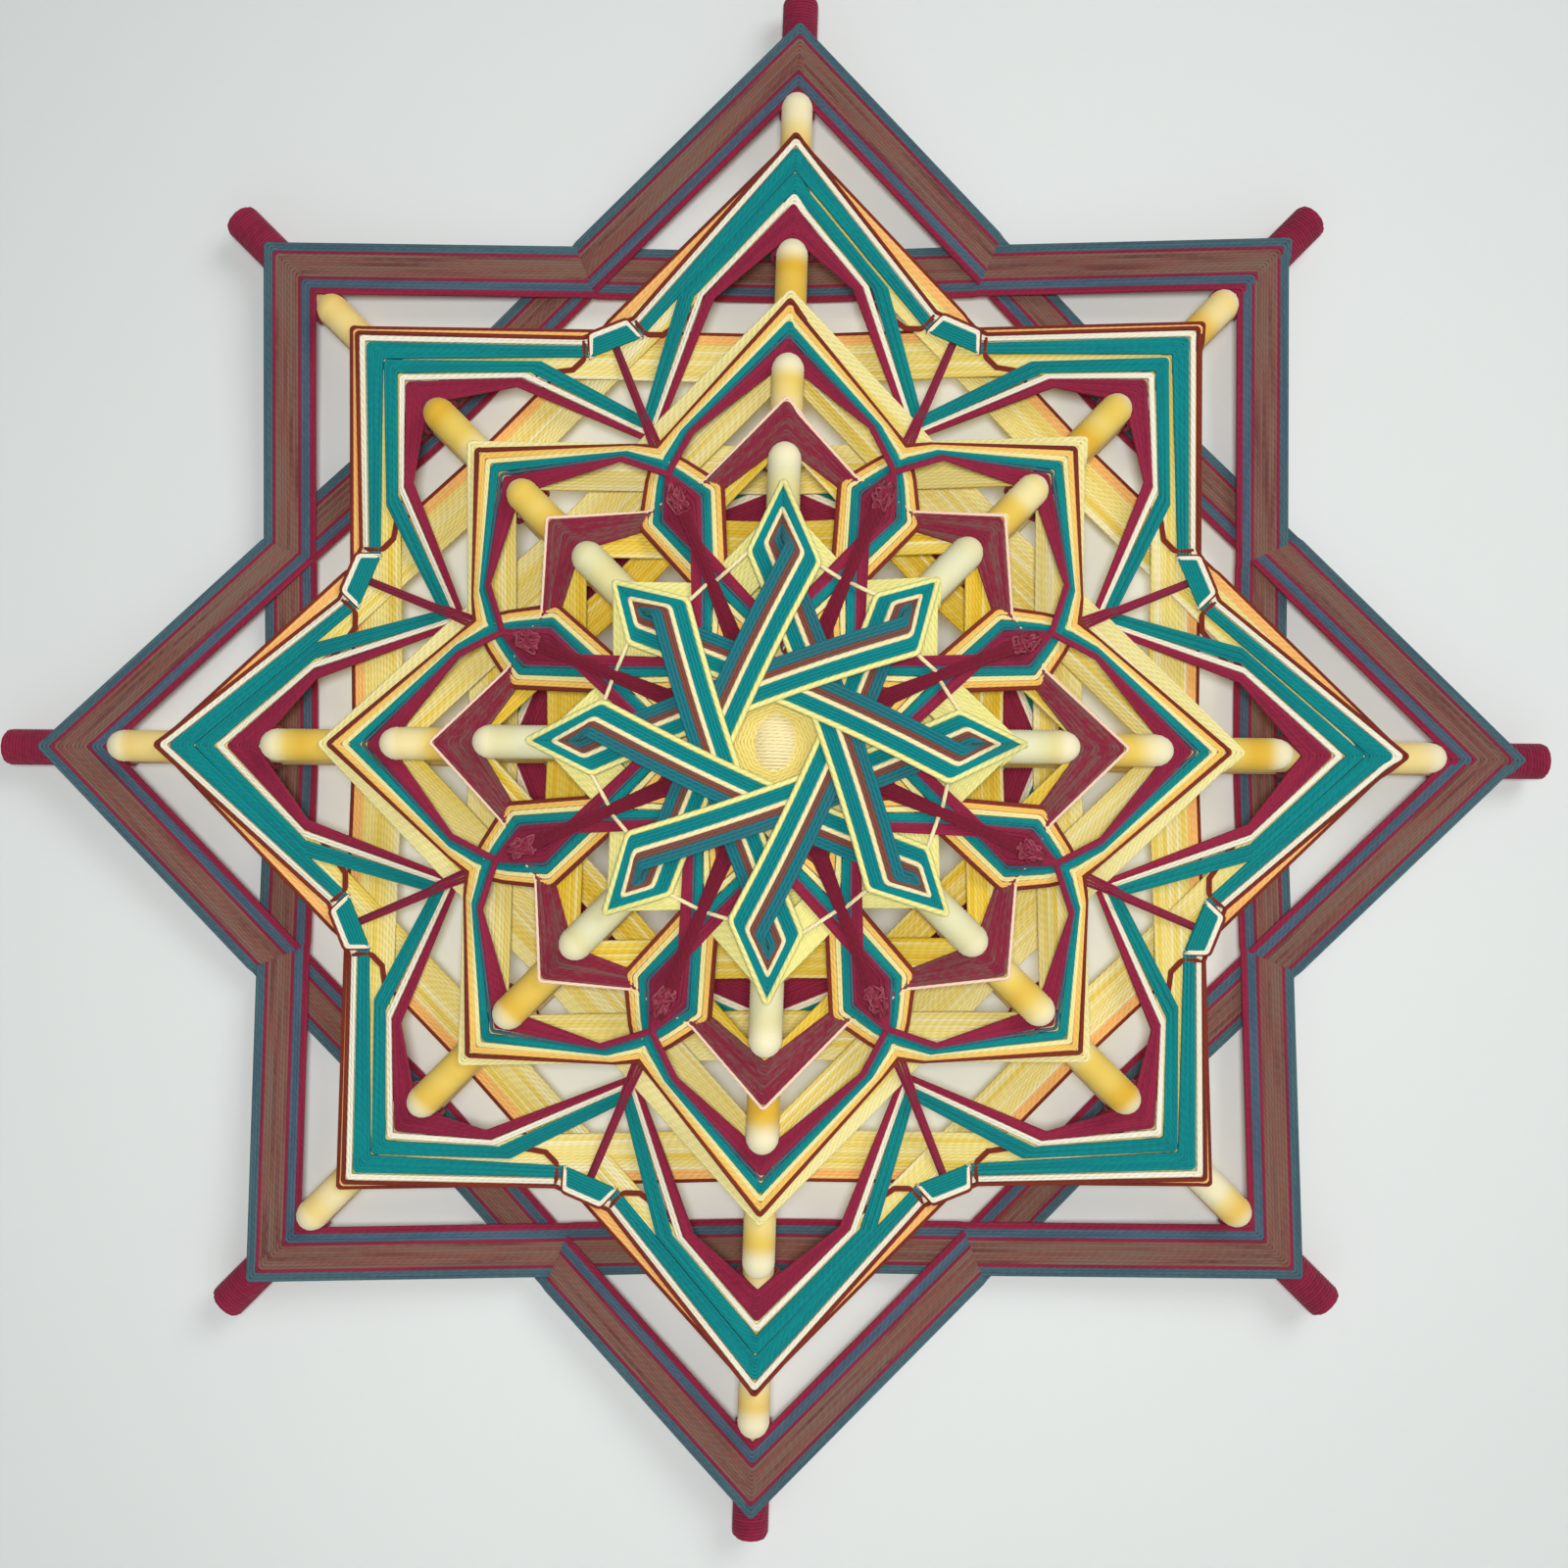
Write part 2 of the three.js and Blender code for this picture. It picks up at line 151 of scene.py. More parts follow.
def window(name, location, width, watts):
    """A square lamp that looks at the middle of the object, with its place and width in metres."""
    lamp = bpy.data.lights.new(name, "AREA")
    lamp.size = width
    lamp.energy = watts
    lamp.color = linear(254, 252, 252)[:3]
    holder = bpy.data.objects.new(name, lamp)
    holder.location = location
    holder.rotation_euler = (-Vector(location)).to_track_quat("-Z", "Y").to_euler()
    bpy.context.scene.collection.objects.link(holder)


window("window_light", (1.0, -1.3, 0.9), 0.9, 11.5)
window("front_light", (0.003, -0.75, -0.024), 0.12, 3.5)
window("rear_fill", (0.6, 2.4, 0.8), 1.6, 40)

# The long sticks of the rear tier: four plain pale dowels, planed at the middle so that they cross in one
# thickness. They carry the outer rim, and everything in front is wound or tied to what they hold.
stick_radius = 5.0
stick_names = ["level", "rising", "upright", "falling"]
reaches = [250, 211, 158.5, 118.5, 88]
levels = [7.3, 19.7, 32.1, 44.5, 56.9]
leans = [-0.55, 0, -1.9, 0]
layer_of = [2, 0, 3, 1]
layer_height = 2.5
layer_slack = 0.1
lap_half = 13.8
dowel_step = 2.5
dowel_sides = 28
dowel_dome = 1.2
dowel_reach = reaches[0] - 1
dye_spacing = 700
dome_angles = [20, 40, 58, 74, 86]


def arm_angle(arm):
    """The angle of an arm, counter-clockwise from the right one, with the lean of its sticks."""
    return math.radians(45 * arm + leans[arm % 4])


def place(angle, radius, aside, level):
    """A point out along an angle from the centre, moved aside (counter-clockwise) and to the front."""
    x = radius * math.cos(angle) - aside * math.sin(angle)
    z = radius * math.sin(angle) + aside * math.cos(angle)
    return np.array([x, -level, z])


def layer_bounds(arm):
    """The quarter of the thickness that is left of a stick where it crosses the others."""
    low = -stick_radius + layer_of[arm] * layer_height
    return low + layer_slack, low + layer_height - layer_slack


def rod_rings(far_reach, near_reach, step, radii, dome):
    """Distance along a rod and radius there, from its far end to its near end, both rounded."""
    start, stop = dome - far_reach, near_reach - dome
    count = int(round((stop - start) / step))
    body = [(start + (stop - start) * i / count, radii[i % len(radii)]) for i in range(count + 1)]
    turns = [math.radians(a) for a in dome_angles]
    far_end = [(start - dome * math.sin(a), body[0][1] * math.cos(a)) for a in reversed(turns)]
    near_end = [(stop + dome * math.sin(a), body[-1][1] * math.cos(a)) for a in turns]
    return far_end + body + near_end


def tube_faces(along, sides, first):
    """Faces over rings of vertices that are numbered from first, closed at both ends, and their map: the way
    round in U and the distance along in V."""
    faces, maps = [], []
    for i, (near, far) in enumerate(zip(along, along[1:])):
        row, up = first + i * sides, first + (i + 1) * sides
        for side in range(sides):
            after = (side + 1) % sides
            faces.append((row + side, row + after, up + after, up + side))
            left, right = side / sides, (side + 1) / sides
            maps += [(left, near), (right, near), (right, far), (left, far)]
    last = first + (len(along) - 1) * sides
    faces.append(tuple(first + side for side in reversed(range(sides))))
    faces.append(tuple(last + side for side in range(sides)))
    maps += [(0.5, along[0])] * sides + [(0.5, along[-1])] * sides
    return faces, maps


def rod_mesh(name, arm, level, rings, sides, low, high, dye_shift):
    """A round rod along an arm, from its rings. Near the middle it is flattened between low and high."""
    angle = arm_angle(arm)
    verts = []
    for u, r in rings:
        for side in range(sides):
            turn = 2 * math.pi * side / sides
            depth = r * math.sin(turn)
            if abs(u) < lap_half:
                depth = min(max(depth, low), high)
            verts.append(place(angle, u, r * math.cos(turn), level + depth) * MM)
    faces, maps = tube_faces([u + dye_shift for u, _ in rings], sides, 0)
    return mesh_object(name, verts, faces, maps)


def mesh_object(name, verts, faces, maps):
    """A smooth piece at the origin, with its map under the name that the yarns and the wood read."""
    mesh = bpy.data.meshes.new(name)
    mesh.from_pydata([tuple(v) for v in verts], [], faces)
    layer = mesh.uv_layers.new(name="strand")
    layer.data.foreach_set("uv", np.array(maps, np.float32).ravel())
    mesh.polygons.foreach_set("use_smooth", [True] * len(mesh.polygons))
    piece = bpy.data.objects.new(name, mesh)
    bpy.context.scene.collection.objects.link(piece)
    return piece


def relief(tree, shader, height, strength, distance):
    """Fine relief on a surface. Its distance is in metres."""
    bump = add_node(tree, "Bump")
    bump.inputs["Strength"].default_value = strength
    bump.inputs["Distance"].default_value = distance
    tree.links.new(height, bump.inputs["Height"])
    tree.links.new(bump.outputs["Normal"], shader.inputs["Normal"])


def bare_wood(name):
    """Pale dowel wood: long fine grain along the stick, with slow changes of tone."""
    material, tree, shader = new_material(name, 0.62)
    where = add_node(tree, "UVMap", uv_map="strand")
    tones = [(0.3, (196, 160, 110)), (0.7, (226, 200, 152))]
    tone, grain = noise_tint(tree, where.outputs["UV"], (26, 0.05, 1), 6, tones)
    tree.links.new(tone, shader.inputs["Base Color"])
    relief(tree, shader, grain, 0.25, 0.0002)
    return material


wood = bare_wood("pale_dowel_wood")
for arm in range(4):
    node = f"outer_{stick_names[arm]}_stick"
    low, high = layer_bounds(arm)
    rings = rod_rings(dowel_reach, dowel_reach, dowel_step, [stick_radius], dowel_dome)
    stick = rod_mesh(node + "_dowel", arm, levels[0], rings, dowel_sides, low, high, dye_spacing * arm)
    stick.data.materials.append(wood)
    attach(stick, "root")
    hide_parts(node)

# Outer rim: a square and a diamond band of thin yarn, wound side by side from the tips inwards. Each strand
# comes to the front of a stick, goes once round it and leaves for the next, and passes behind the stick
# between. Blue-grey edges lined with wine enclose a wide brown stripe. Done by hand, it drifts.
strand = 1.0
rim_strand = 1.32
strand_sides = 6
stick_skin = 5.1
second_pass = 0.4
turn_ease = 0.35
turn_degrees = [4, 40, 75, 110, 145, 180, 215, 250, 285, 320, 356]
half_turn = 6
bend_reach = 0.9
ply_lay = 2.6
hand_drift = [1.4, -2.0, 0.2, -3.6, -1.6, -1.1, 3.6, -2.0]


def twist_group():
    """Two-ply yarn: colour and height of the twist along a strand, with flecks of another shade, and the
    colour darkened in the grooves between the plies and lightened a little on their crests, which is painted
    shade and painted light.
    """
    group = bpy.data.node_groups.new("yarn_twist", "ShaderNodeTree")
    link = group.links.new
    face = group.interface
    face.new_socket("Yarn", in_out="INPUT", socket_type="NodeSocketColor")
    face.new_socket("Fleck", in_out="INPUT", socket_type="NodeSocketColor")
    face.new_socket("Fleck Share", in_out="INPUT", socket_type="NodeSocketFloat")
    face.new_socket("Color", in_out="OUTPUT", socket_type="NodeSocketColor")
    face.new_socket("Height", in_out="OUTPUT", socket_type="NodeSocketFloat")
    given = group.nodes.new("NodeGroupInput")
    result = group.nodes.new("NodeGroupOutput")
    where = add_node(group, "UVMap", uv_map="strand")
    parts = add_node(group, "SeparateXYZ")
    link(where.outputs["UV"], parts.inputs["Vector"])

    def math_node(operation, first, second):
        node = add_node(group, "Math", operation=operation)
        for socket, value in zip(node.inputs, (first, second)):
            if isinstance(value, (int, float)):
                socket.default_value = value
            else:
                link(value, socket)
        return node.outputs["Value"]

    def noise(scale_round, scale_along, detail):
        stretch = add_node(group, "Mapping")
        stretch.inputs["Scale"].default_value = (scale_round, scale_along, 1)
        speck = add_node(group, "TexNoise")
        speck.inputs["Scale"].default_value = 1.0
        speck.inputs["Detail"].default_value = detail
        link(where.outputs["UV"], stretch.inputs["Vector"])
        link(stretch.outputs["Vector"], speck.inputs["Vector"])
        return speck.outputs["Fac"]

    lay = math_node("MULTIPLY", parts.outputs["Y"], 2 * math.pi / ply_lay)
    round_turns = math_node("MULTIPLY", parts.outputs["X"], 4 * math.pi)
    wave = math_node("SINE", math_node("ADD", lay, round_turns), 0)
    ply = math_node("MULTIPLY_ADD", wave, 0.5)
    ply.node.inputs[2].default_value = 0.5
    fibre = noise(9, 1.6, 3)
    height = math_node("ADD", ply, math_node("MULTIPLY", fibre, 0.6))
    streak = math_node("ADD", noise(0.7, 0.021, 1), math_node("MULTIPLY", noise(1.5, 0.35, 2), 0.55))
    spread = add_node(group, "MapRange", interpolation_type="SMOOTHSTEP")
    spread.inputs["From Min"].default_value = 0.66
    spread.inputs["From Max"].default_value = 0.92
    link(streak, spread.inputs["Value"])
    amount = math_node("MULTIPLY", spread.outputs["Result"], given.outputs["Fleck Share"])
    blend = add_node(group, "Mix", data_type="RGBA")
    link(amount, blend.inputs["Factor"])
    link(given.outputs["Yarn"], blend.inputs["A"])
    link(given.outputs["Fleck"], blend.inputs["B"])
    # Painted shade: the colour is multiplied by the ply height, darker in the grooves between the plies and
    # a little lighter on their crests.
    depth = add_node(group, "MapRange")
    depth.inputs["From Max"].default_value = 1.4
    depth.inputs["To Min"].default_value = 0.89
    depth.inputs["To Max"].default_value = 1.08
    link(height, depth.inputs["Value"])
    shade = add_node(group, "Mix", data_type="RGBA", blend_type="MULTIPLY")
    shade.inputs["Factor"].default_value = 1.0
    link(blend.outputs["Result"], shade.inputs["A"])
    link(depth.outputs["Result"], shade.inputs["B"])
    link(shade.outputs["Result"], result.inputs["Color"])
    link(height, result.inputs["Height"])
    return group


twist = twist_group()


def yarn(name, colour, fleck, share, stops=None, period=None):
    """A yarn of one colour with flecks of another, or one dyed from stop to stop over a period along it."""
    material, tree, shader = new_material(name, 0.92)
    shader.inputs["Sheen Weight"].default_value = 0.06
    shader.inputs["Sheen Roughness"].default_value = 0.6
    spun = add_node(tree, "Group", node_tree=twist)
    spun.inputs["Yarn"].default_value = linear(*colour)
    spun.inputs["Fleck"].default_value = linear(*fleck)
    spun.inputs["Fleck Share"].default_value = share
    if stops:
        where = add_node(tree, "UVMap", uv_map="strand")
        dye, _ = noise_tint(tree, where.outputs["UV"], (0, 1 / period, 0), 1, stops)
        tree.links.new(dye, spun.inputs["Yarn"])
    # The twist group paints shade into the grooves between the plies and a little light onto their crests.
    tree.links.new(spun.outputs["Color"], shader.inputs["Base Color"])
    relief(tree, shader, spun.outputs["Height"], 0.38, 0.00025)
    return material


def eased(points):
    """The points of a strand with its sharp corners rounded, as yarn bends."""
    smooth = [points[0]]
    for before, here, after in zip(points, points[1:], points[2:]):
        back, ahead = before - here, after - here
        near, far = np.linalg.norm(back), np.linalg.norm(ahead)
        if back.dot(ahead) > -0.8 * near * far:
            reach = min(bend_reach, 0.35 * near, 0.35 * far)
            enter, leave = here + back * reach / near, here + ahead * reach / far
            smooth += [enter, (enter + 2 * here + leave) / 4, leave]
        else:
            smooth.append(here)
    return np.array(smooth + [points[-1]])


def tube(points, diameter):
    """Rings of a strand along its points, and how far along it each ring lies."""
    points = eased(points)
    runs = np.diff(points, axis=0)
    lengths = np.linalg.norm(runs, axis=1)
    runs = runs / lengths[:, None]
    ahead = np.vstack([runs[:1], runs[:-1] + runs[1:], runs[-1:]])
    ahead = ahead / np.linalg.norm(ahead, axis=1)[:, None]
    seed = np.array([0, -1, 0]) if abs(ahead[0][1]) < 0.9 else np.array([1, 0, 0])
    over = np.cross(ahead[0], np.cross(seed, ahead[0]))
    turns = 2 * math.pi * np.arange(strand_sides) / strand_sides
    rings = []
    for point, along in zip(points, ahead):
        over = over - along * over.dot(along)
        over = over / np.linalg.norm(over)
        beside = np.cross(along, over)
        ring = np.outer(np.cos(turns), over) + np.outer(np.sin(turns), beside)
        rings.append(point + ring * diameter / 2)
    return np.array(rings), np.concatenate([[0], np.cumsum(lengths)])


def wound_piece(name, strands, slot, *nodes):
    """One piece of wound yarn: every strand is (points, diameter, material)."""
    verts, faces, maps, kinds, yarns = [], [], [], [], []
    first = 0
    for points, diameter, material in strands:
        rings, travelled = tube(points, diameter)
        if material not in yarns:
            yarns.append(material)
        strand_faces, strand_maps = tube_faces(travelled, strand_sides, first)
        faces += strand_faces
        maps += strand_maps
        kinds += [yarns.index(material)] * len(strand_faces)
        verts.append(rings.reshape(-1, 3) * MM)
        first += len(rings) * strand_sides
    piece = mesh_object(name, np.vstack(verts), faces, maps)
    for material in yarns:
        piece.data.materials.append(material)
    piece.data.polygons.foreach_set("material_index", kinds)
    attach(piece, "root")
    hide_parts(*nodes)
    return piece


def stick_turn(arm, tier, radius, height, before, after):
    """Once round a stick, from the front back to the front. The turn lies under the strand's own runs, which
    come from one point and go on to another, and height is what it already lies on."""
    angle = arm_angle(arm)
    out = stick_skin + strand / 2 + height
    slopes = []
    for point in (before, after):
        along = point[0] * math.cos(angle) + point[2] * math.sin(angle)
        aside = point[2] * math.cos(angle) - point[0] * math.sin(angle)
        slopes.append((radius - along) / abs(aside))
    points = [place(angle, radius - turn_ease * slopes[0], -turn_ease, levels[tier] + out)]
    for degrees in turn_degrees:
        turn = math.radians(degrees)
        aside = out * math.sin(turn)
        behind = min(1, max(0, (degrees - 90) / 180))
        slope = slopes[1] * (1 - behind) + slopes[0] * behind
        inward = slope * (out if 90 < degrees < 270 else abs(aside))
        rise = second_pass if degrees > 300 else 0
        points.append(place(angle, radius - inward, aside, levels[tier] + out * math.cos(turn) + rise))
    points.append(place(angle, radius - turn_ease * slopes[1], turn_ease, levels[tier] + out + second_pass))
    return points


def turn_part(turn, visit, last_visit):
    """A strand begins and ends behind a stick, so its first and last turns are half ones."""
    if visit == 0:
        return turn[half_turn:]
    if visit == last_visit:
        return turn[:half_turn + 1]
    return turn


def share_at(start, end, angle):
    """How far along a run it crosses the line at an angle from the centre."""
    away = [-math.sin(angle) * p[0] + math.cos(angle) * p[2] for p in (start, end)]
    return away[0] / (away[0] - away[1])


def on_run(start, end, share, level):
    """A point some way along a run, at a level of its own."""
    point = start + (end - start) * share
    return np.array([point[0], -level, point[2]])


def halfway(arm):
    """The angle halfway between an arm and the next one."""
    return (arm_angle(arm) + arm_angle(arm + 1)) / 2


def band_run(start, end, arm, tier):
    """Points of a run between two of its own arms. It dips past the other band halfway to the arm between,
    and goes behind that arm's stick."""
    length = np.linalg.norm(end - start)
    step = 1.0 / length
    half = strand * 0.55
    behind = stick_skin + strand * 0.65
    first = share_at(start, end, halfway(arm - 1))
    middle = share_at(start, end, arm_angle(arm))
    second = share_at(start, end, halfway(arm))
    stops = [(first - step, half), (first + step, -half), (middle, -behind),
             (second - step, -half), (second + step, half)]
    return [on_run(start, end, share, levels[tier] + rise) for share, rise in stops]


def band_strand(first_arm, tier, outer, pitch, first_loop, loops):
    """One unbroken yarn that spirals inwards over the four arms of a square or a diamond."""
    calls = []
    for visit in range(-1, 4 * loops + 2):
        arm = (first_arm + 2 * visit) % 8
        radius = outer - pitch * (first_loop + visit / 4) + hand_drift[arm]
        calls.append((arm, radius, place(arm_angle(arm), radius, 0, levels[tier])))
    points = []
    for visit in range(4 * loops + 1):
        (_, _, before), (arm, radius, _), (_, _, after) = calls[visit:visit + 3]
        turn = stick_turn(arm, tier, radius, 0, before, after)
        if points:
            points += band_run(points[-1], turn[0], arm - 1, tier)
        points += turn_part(turn, visit, 4 * loops)
    return points


wine = yarn("wine_yarn", (146, 36, 66), (106, 26, 50), 0.4)
blue_grey = yarn("blue_grey_yarn", (78, 100, 118), (56, 80, 96), 0.5)
rim_edge = yarn("blue_green_yarn", (74, 104, 112), (60, 80, 98), 0.5)
brown_stops = [(0.36, (108, 64, 60)), (0.5, (132, 84, 73)), (0.64, (124, 98, 86))]
brown = yarn("brown_melange_yarn", (132, 84, 73), (126, 104, 90), 0.5, brown_stops, 50)
rim_starts = {"square": 239.4, "diamond": 239.9}
rim_pitch = 1.33
rim_stripes = [
    ("outer_edge", "blue_grey_yarn", [(rim_edge, 3), (wine, 1)]),
    ("middle", "brown_yarn", [(brown, 8)]),
    ("inner_edge", "blue_grey_yarn", [(wine, 1), (blue_grey, 3), (wine, 2)]),
]
for shape, first_arm in (("square", 1), ("diamond", 0)):
    loop = 0
    for stripe, slot, yarns in rim_stripes:
        strands = []
        for material, loops in yarns:
            path = band_strand(first_arm, 0, rim_starts[shape], rim_pitch, loop, loops)
            strands.append((path, rim_strand, material))
            loop += loops
        node = f"outer_{shape}_{stripe}"
        wound_piece(node + "_yarn", strands, slot, node)

# Tips: wine yarn wound tightly over the last of each long stick, which keeps the rim on. It closes over the
# end of the stick in a flat spiral.
arm_names = ["right", "upper_right", "top", "upper_left", "left", "lower_left", "bottom", "lower_right"]
tip_start = 231
tip_end = 251
tip_radius = 5.9
tip_strand = 1.1
tip_pitch = tip_strand * 0.92
tip_rounding = 2.2
coil_steps = 14
spiral_turns = 4
spiral_steps = 12
spiral_bulge = 0.7
for arm in range(8):
    angle = arm_angle(arm)
    turns = int((tip_end - tip_start - tip_strand) / tip_pitch)
    coil = []
    for step in range(turns * coil_steps + 1):
        turn = 2 * math.pi * step / coil_steps
        along = tip_start + tip_strand / 2 + tip_pitch * step / coil_steps
        over_end = max(0, along - (tip_end - tip_rounding)) / tip_rounding
        reach = (tip_radius - tip_strand / 2) * math.sqrt(max(0.05, 1 - over_end ** 2))
        coil.append(place(angle, along, reach * math.cos(turn), levels[0] + reach * math.sin(turn)))
    close = []
    for step in range(spiral_turns * spiral_steps + 1):
        turn = 2 * math.pi * step / spiral_steps
        reach = (tip_radius - tip_strand) * (1 - step / (spiral_turns * spiral_steps)) + 0.1
        bulge = tip_end - tip_strand / 2 - spiral_bulge * (reach / tip_radius) ** 2
        close.append(place(angle, bulge, reach * math.cos(turn), levels[0] + reach * math.sin(turn)))
    node = f"tip_winding_{arm_names[arm]}"
    wound_piece(node + "_yarn", [(coil, tip_strand, wine), (close, tip_strand, wine)], "wine_yarn", node)

# The sticks of the four front tiers: dowels wound from end to end with one layer of yarn, dyed in slow
# changes from cream to yellow, so that the stick is ribbed round like a reel.
tier_names = ["outer", "second", "third", "fourth", "front"]
end_drift = [2.5, -2.3, 2.6, -4.2, 1.8, 0.4, 4.5, -1.0]
rib = 0.5
rib_radii = [5.1, 4.9]
wound_sides = 16
wound_dome = 5.5
stick_dye_period = 20
pale_end = (7, 1)
pale_end_dye = (238, 229, 190)


def wound_stick_yarn(tier, stops):
    """Cream to yellow dye in bands along the stick, cream at its ends, and a fine relief of fibres."""
    material, tree, shader = new_material(f"{tier_names[tier]}_stick_yarn", 0.9)
    shader.inputs["Sheen Weight"].default_value = 0.12
    link = tree.links.new
    where = add_node(tree, "UVMap", uv_map="strand")
    dye, _ = noise_tint(tree, where.outputs["UV"], (0.25, 1 / stick_dye_period, 1), 1, stops)
    spot = add_node(tree, "TexCoord")
    seen_flat = add_node(tree, "VectorMath", operation="MULTIPLY")
    seen_flat.inputs[1].default_value = (1, 0, 1)
    from_centre = add_node(tree, "VectorMath", operation="LENGTH")
    end = add_node(tree, "MapRange", interpolation_type="SMOOTHSTEP")
    end.inputs["From Min"].default_value = (reaches[tier] - pale_end[0]) * MM
    end.inputs["From Max"].default_value = (reaches[tier] - pale_end[1]) * MM
    paler = add_node(tree, "Mix", data_type="RGBA")
    paler.inputs["B"].default_value = linear(*pale_end_dye)
    link(spot.outputs["Object"], seen_flat.inputs[0])
    link(seen_flat.outputs["Vector"], from_centre.inputs[0])
    link(from_centre.outputs["Value"], end.inputs["Value"])
    link(end.outputs["Result"], paler.inputs["Factor"])
    link(dye, paler.inputs["A"])
    link(paler.outputs["Result"], shader.inputs["Base Color"])
    fine = add_node(tree, "Mapping")
    fine.inputs["Scale"].default_value = (14, 2.2, 1)
    fibre = add_node(tree, "TexNoise")
    fibre.inputs["Scale"].default_value = 1.0
    link(where.outputs["UV"], fine.inputs["Vector"])
    link(fine.outputs["Vector"], fibre.inputs["Vector"])
    relief(tree, shader, fibre.outputs["Fac"], 0.3, 0.0002)
    return material


mixed_dye = [(0.38, (240, 231, 192)), (0.5, (237, 213, 138)), (0.64, (230, 188, 84))]
golden_dye = [(0.36, (237, 222, 160)), (0.47, (229, 199, 96)), (0.6, (221, 177, 58))]
pale_dye = [(0.4, (222, 220, 182)), (0.54, (220, 214, 160)), (0.7, (220, 202, 120))]
for tier, stops in ((1, mixed_dye), (2, golden_dye), (3, golden_dye), (4, pale_dye)):
    stick_yarn = wound_stick_yarn(tier, stops)
    for arm in range(4):
        node = f"{tier_names[tier]}_{stick_names[arm]}_stick"
        low, high = layer_bounds(arm)
        ends = [reaches[tier] + end_drift[arm + half] for half in (4, 0)]
        rings = rod_rings(*ends, rib, rib_radii, wound_dome)
        shift = dye_spacing * (4 * tier + arm)
        stick = rod_mesh(node + "_winding", arm, levels[tier], rings, wound_sides, low, high, shift)
        stick.data.materials.append(stick_yarn)
        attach(stick, "root")
        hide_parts(node)

# Second tier, first layer: a square and a diamond band in yarn dyed from cream to gold, edged outside with
# a dark red line and peach. They are wound on this tier's sticks in the way of the rim.
dark_red = yarn("dark_red_yarn", (128, 46, 30), (92, 34, 28), 0.4)
peach = yarn("peach_yarn", (245, 192, 116), (238, 172, 92), 0.4)
pale_ombre = [(0.3, (242, 236, 196)), (0.5, (238, 222, 140)), (0.68, (230, 202, 84))]
cream_ombre = yarn("cream_to_gold_yarn", (230, 215, 140), (228, 206, 116), 0.2, pale_ombre, 130)
base_pitch = 1.42
base_strand = 1.4


def base_band(tier, shape, outer, stripes, slot):
    """A square or a diamond wound on the sticks of a tier, in stripes of (yarn, loops) from outside in."""
    strands, loop = [], 0
    for material, loops in stripes:
        path = band_strand(1 if shape == "square" else 0, tier, outer, base_pitch, loop, loops)
        strands.append((path, base_strand, material))
        loop += loops
    node = f"{tier_names[tier]}_{shape}_band"
    wound_piece(node + "_yarn", strands, slot, node)


second_stripes = [(dark_red, 1), (peach, 3), (cream_ombre, 12)]
base_band(1, "square", 194.7, second_stripes, "cream_yarn")
base_band(1, "diamond", 197, second_stripes, "cream_yarn")

# Second tier, on top: a zigzag of dark red, cream and teal that calls at every arm and is drawn in between
# two arms, where a short bridge of cream and teal yarn binds it.
teal = yarn("teal_yarn", (4, 136, 136), (6, 112, 122), 0.5)
cream = yarn("cream_yarn", (242, 237, 215), (230, 218, 184), 0.3)
over_band = 1.45
diagonal_step = 5.3
gap_drift = [-0.5, 0.5, -3.0, -2.0, 0, 4.0, 1.0, 1.5]
gap_drift_radius = 145


def ring_strand(tier, stripe, loops, first_arm, between, height, step):
    """One unbroken yarn that calls at every arm in turn. stripe gives its outer and inner edge at the level
    and upright arms, and between gives its points from one arm to the next for a share across the stripe."""
    points = []
    for visit in range(8 * loops + 1):
        share = visit / 8 / loops
        arm = (first_arm + visit) % 8
        radius = part_way(stripe, share) - (step if arm % 2 else 0) + hand_drift[arm]
        before, after = between((arm - 1) % 8, share)[-1], between(arm, share)
        turn = stick_turn(arm, tier, radius, height, before, after[0])
        points += turn_part(turn, visit, 8 * loops)
        if visit < 8 * loops:
            points += after
    return points


def part_way(edges, share):
    """A value that goes from the outer edge of a stripe to the inner one."""
    outer, inner = edges
    return outer + (inner - outer) * share


def filling(stripe, loops):
    """The thickness at which strands laid side by side fill a stripe."""
    return max(strand, 1.1 * abs(stripe[0] - stripe[1]) / loops)


def gap_point(arm, radius, degrees, level):
    """A point in the gap after an arm, at an angle from the line halfway to the next arm."""
    drawn = radius + gap_drift[arm] * radius / gap_drift_radius
    return place(halfway(arm) + math.radians(degrees), drawn, 0, level)


def pile(share, loops, step):
    """How much higher every second loop of a stripe lies where the loops are drawn together."""
    return step * (round(share * 8 * loops) // 8 % 2)


bridge_rise = 2.0
bridge_angle = 3.45
zigzag_stripes = [
    (dark_red, 1, (197.4, 196.2), (149.8, 149.0)),
    (cream, 2, (195.4, 193.2), (148.4, 146.8)),
    (teal, 6, (192.2, 185.0), (146.0, 142.6)),
]


def past_bridge(loops, at_bridge):
    """The way of the zigzag's yarn between two arms, flat behind the bridge."""
    def points(arm, share):
        level = levels[1] + bridge_rise + pile(share, loops, 0.5)
        radius = part_way(at_bridge, share)
        return [gap_point(arm, radius, side * bridge_angle, level) for side in (-1, 1)]

    return points


zigzag = []
for material, loops, at_arm, at_bridge in zigzag_stripes:
    path = ring_strand(1, at_arm, loops, 0, past_bridge(loops, at_bridge), over_band, diagonal_step)
    zigzag.append((path, filling(at_arm, loops), material))

